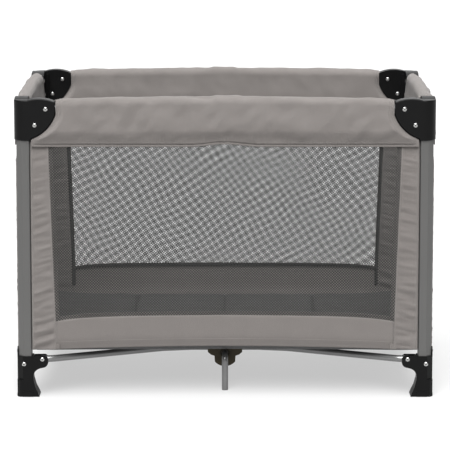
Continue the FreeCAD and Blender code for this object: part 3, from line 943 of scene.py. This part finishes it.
# %% The stitch tree
def make_stitch_tree():
    """Lays threads along the edges of a mesh."""
    tree = bpy.data.node_groups.new("Stitch row", "GeometryNodeTree")
    sockets = tree.interface
    sockets.new_socket("Geometry", in_out="INPUT", socket_type="NodeSocketGeometry")
    sizes = {"Step": 0.0042, "Length": 0.0030, "Thread": 0.00035, "Uneven": 0.12}
    for label, value in sizes.items():
        socket = sockets.new_socket(label, in_out="INPUT", socket_type="NodeSocketFloat")
        socket.default_value = value
    sockets.new_socket("Finish", in_out="INPUT", socket_type="NodeSocketMaterial")
    sockets.new_socket("Geometry", in_out="OUTPUT", socket_type="NodeSocketGeometry")
    add = tree.nodes.new
    given = add("NodeGroupInput").outputs
    curve = add("GeometryNodeMeshToCurve")
    steps = add("GeometryNodeResampleCurve")
    steps.mode = "LENGTH"
    thread = add("GeometryNodeMeshCylinder")
    thread.inputs["Vertices"].default_value = 6
    copies = add("GeometryNodeInstanceOnPoints")
    tangent = add("GeometryNodeInputTangent")
    turn = add("FunctionNodeAlignRotationToVector")
    turn.axis = "Z"
    uneven = add("FunctionNodeRandomValue")
    uneven.data_type = "FLOAT"
    uneven.inputs["Seed"].default_value = 7
    low = add("ShaderNodeMath")
    low.operation = "SUBTRACT"
    low.inputs[0].default_value = 1.0
    real = add("GeometryNodeRealizeInstances")
    finish = add("GeometryNodeSetMaterial")
    link = tree.links.new
    link(given["Geometry"], curve.inputs["Mesh"])
    link(curve.outputs["Curve"], steps.inputs["Curve"])
    link(given["Step"], steps.inputs["Length"])
    link(given["Thread"], thread.inputs["Radius"])
    link(given["Length"], thread.inputs["Depth"])
    link(steps.outputs["Curve"], copies.inputs["Points"])
    link(thread.outputs["Mesh"], copies.inputs["Instance"])
    link(tangent.outputs["Tangent"], turn.inputs["Vector"])
    link(turn.outputs["Rotation"], copies.inputs["Rotation"])
    link(given["Uneven"], low.inputs[1])
    link(low.outputs[0], uneven.inputs[2])
    uneven.inputs[3].default_value = 1.0
    link(uneven.outputs[1], copies.inputs["Scale"])
    link(copies.outputs["Instances"], real.inputs["Geometry"])
    link(real.outputs["Geometry"], finish.inputs["Geometry"])
    link(given["Finish"], finish.inputs["Material"])
    link(finish.outputs["Geometry"], add("NodeGroupOutput").inputs[0])
    return tree


stitch_tree = make_stitch_tree()
print("stitch tree has", len(stitch_tree.nodes), "nodes")


def stitch_rows(name, lines):
    """Stitches along each line of points."""
    points = [point for line in lines for point in line]
    edges = []
    start = 0
    for line in lines:
        edges += [(start + k, start + k + 1) for k in range(len(line) - 1)]
        start += len(line)
    mesh = bpy.data.meshes.new(name)
    mesh.from_pydata(points, edges, [])
    piece = place(name, mesh)
    rows = piece.modifiers.new("Stitches", "NODES")
    rows.node_group = stitch_tree
    for item in stitch_tree.interface.items_tree:
        if item.name == "Finish":
            rows[item.identifier] = thread_finish
    settle(piece)
    return piece


# %% Stitches of every wall
def wall_stitches(side):
    """One row on the hem and one below the net."""
    reach = HALF[side] - border_edge(CLOTH_LOW)
    lines = []
    for z, behind in ((CLOTH_LOW + HEM_LINE, 0.0003), (BAND_TOP - ALLOWANCE - 0.0006, -0.0003)):
        lines.append([wall_point(side, along, z, behind) for along in spread(-reach, reach, 90)])
    return stitch_rows(side + "_stitches", lines)


def strip_stitches(side, end):
    """One row up the edge of a corner strip."""
    corner = "_".join(strip_name(side, end))
    levels = spread(CLOTH_LOW + 0.004, NET_TOP - 0.004, 60)
    line = [wall_point(side, end * (HALF[side] - border_edge(z) + 0.0024), z, -0.0003) for z in levels]
    return stitch_rows(f"{side}_stitches_{corner}", [line])


stitches = {side: wall_stitches(side) for side in SIDES}
strip_threads = {key: strip_stitches(*key) for key in strips}
print("stitches:", sum(len(p.data.polygons) for p in [*stitches.values(), *strip_threads.values()]))

# %% [markdown]
# ## Fastening the cloth
# Each piece rides on a part of the frame, and the plain part of the frame that it stands for is
# hidden. A whole wall rides on its left post or its front one.

# %% Ride and replace
WALL_BODY = {
    "front": "corner_front_left",
    "rear": "corner_rear_left",
    "left": "corner_front_left",
    "right": "corner_front_right",
}

for side in SIDES:
    body = WALL_BODY[side]
    follow_post(nets[side], side, body)
    follow_post(bands[side], side, body)
    follow_post(bindings[side], side, body)
    follow_post(stitches[side], side, body)
    follow_bracket(covers[side], side, body)
    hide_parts(side + "_mesh")
    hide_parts(side + "_band")
    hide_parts(side + "_rail_cover")

for (side, end), strip in strips.items():
    depth, width = strip_name(side, end)
    corner = depth + "_" + width
    for piece in (strip, strip_threads[side, end]):
        follow_post(piece, side, "corner_" + corner)
    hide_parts("corner_fabric_" + corner)
print("cloths fastened:", len(nets) + len(bands) + len(covers) + len(strips))

# %% [markdown]
# ## Floor, light and camera
# The playpen stands on a wide pale floor under soft daylight from above and from the front, with a
# little light behind. The sky is bright where it is seen, but adds little light of its own, so that
# the folds of the cloth keep their shade.

# %% Studio
FLOOR_SIZE = 60.0
corners = [(-1, -1), (1, -1), (1, 1), (-1, 1)]
mesh = bpy.data.meshes.new("studio_floor")
mesh.from_pydata([(x * FLOOR_SIZE, y * FLOOR_SIZE, 0) for x, y in corners], [], [(0, 1, 2, 3)])
studio_floor = place("studio_floor", mesh)
floor_paint = Finish(
    "pale_floor", (0.215, 0.215, 0.215), 0.9, "Object", Emission_Color=(1, 1, 1, 1), Emission_Strength=0.53
)
floor_paint.tint(floor_paint.group(tone_group, Scale=0.5, Amount=0.01)["Tone"])
mesh.materials.append(floor_paint.material)


def daylight(name, energy, spread_degrees, tilt, roll):
    """A soft sun; tilt leans it from overhead towards the front."""
    sun = bpy.data.lights.new(name, "SUN")
    sun.energy = energy
    sun.angle = math.radians(spread_degrees)
    place(name, sun).rotation_euler = (math.radians(tilt), math.radians(roll), 0)


daylight("overhead_light", 4.8, 56, 10, -4)
daylight("front_light", 3.8, 34, 46, -8)
daylight("rear_light", 1.1, 60, -52, 12)
print("lights:", len(bpy.data.lights))

# %% Sky
SKY_LIGHT = 0.15                                # what the sky adds to the light
SKY_SHOWN = 0.87                                # what it gains where the camera sees it
world = bpy.data.worlds.new("studio")
world.use_nodes = True
sky_tree = world.node_tree
sky = sky_tree.nodes["Background"]
sky.inputs["Color"].default_value = (1, 1, 1, 1)
seen = sky_tree.nodes.new("ShaderNodeLightPath").outputs["Is Camera Ray"]
brightness = calc(sky_tree, "ADD", calc(sky_tree, "MULTIPLY", seen, SKY_SHOWN), SKY_LIGHT)
sky_tree.links.new(brightness, sky.inputs["Strength"])
bpy.context.scene.world = world
bpy.context.scene.view_settings.view_transform = "Standard"
print("sky light", SKY_LIGHT)

# %% Camera
LOOKING_DOWN = 9.135                            # degrees below level
camera_data = bpy.data.cameras.new("camera")
camera_data.lens = 216.4
camera_data.sensor_width = 36.0
camera = place("camera", camera_data)
camera.location = (0.0, -7.03, 1.51)
camera.rotation_euler = (math.radians(90 - LOOKING_DOWN), 0, 0)
bpy.context.scene.camera = camera
print("camera lens", camera_data.lens)
